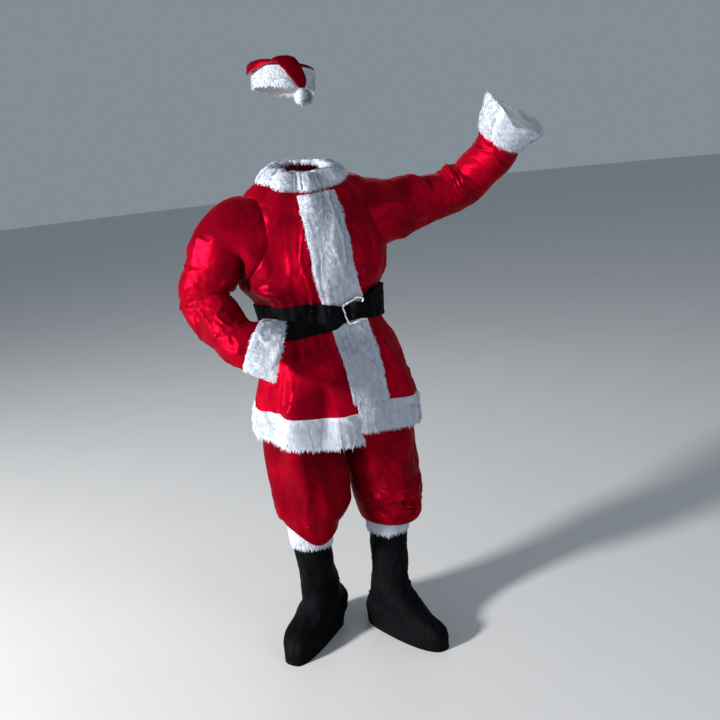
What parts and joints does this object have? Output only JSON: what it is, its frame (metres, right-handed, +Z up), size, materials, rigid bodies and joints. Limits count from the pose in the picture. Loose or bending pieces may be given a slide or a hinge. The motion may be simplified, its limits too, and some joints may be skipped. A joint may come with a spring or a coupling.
{
  "type": "santa suit",
  "caption": "Worn red velour suit with white fur trim: belted coat, knee-length trousers, boot covers and slouched hat, one arm raised and one bent to the hip.",
  "frame": {"origin": "middle of the shoulders of the wearer, inside the coat's neck, 1.48 m above the floor stood on", "axes": "+Z up the wearer, -Y to the wearer's front, +X to the wearer's left"},
  "size_m": [1.122, 0.4885, 1.8191],
  "materials": {
    "velvet": "red velour with a soft sheen",
    "fur": "white plush with a short pile",
    "belt": "soft black belt cloth",
    "boot": "dull black cloth",
    "steel": "bright plated wire"
  },
  "bodies": {
    "root": {"belt_buckle": "steel", "belt_strap": "belt", "boot_left_inner": "boot", "boot_left_outer": "boot", "boot_right_inner": "boot", "boot_right_outer": "boot", "coat_back": "velvet", "coat_front_left": "velvet", "coat_front_right": "velvet", "collar": "fur", "cuff_left": "fur", "cuff_right": "fur", "front_band": "fur", "hat_band": "fur", "hat_crown": "velvet", "hat_pompom": "fur", "hem_band_back": "fur", "hem_band_left": "fur", "hem_band_right": "fur", "leg_cuff_left": "fur", "leg_cuff_right": "fur", "sleeve_left": "velvet", "sleeve_right": "velvet", "trouser_back_left": "velvet", "trouser_back_right": "velvet", "trouser_front_left": "velvet", "trouser_front_right": "velvet", "waistband": "velvet"}
  },
  "joints": []
}
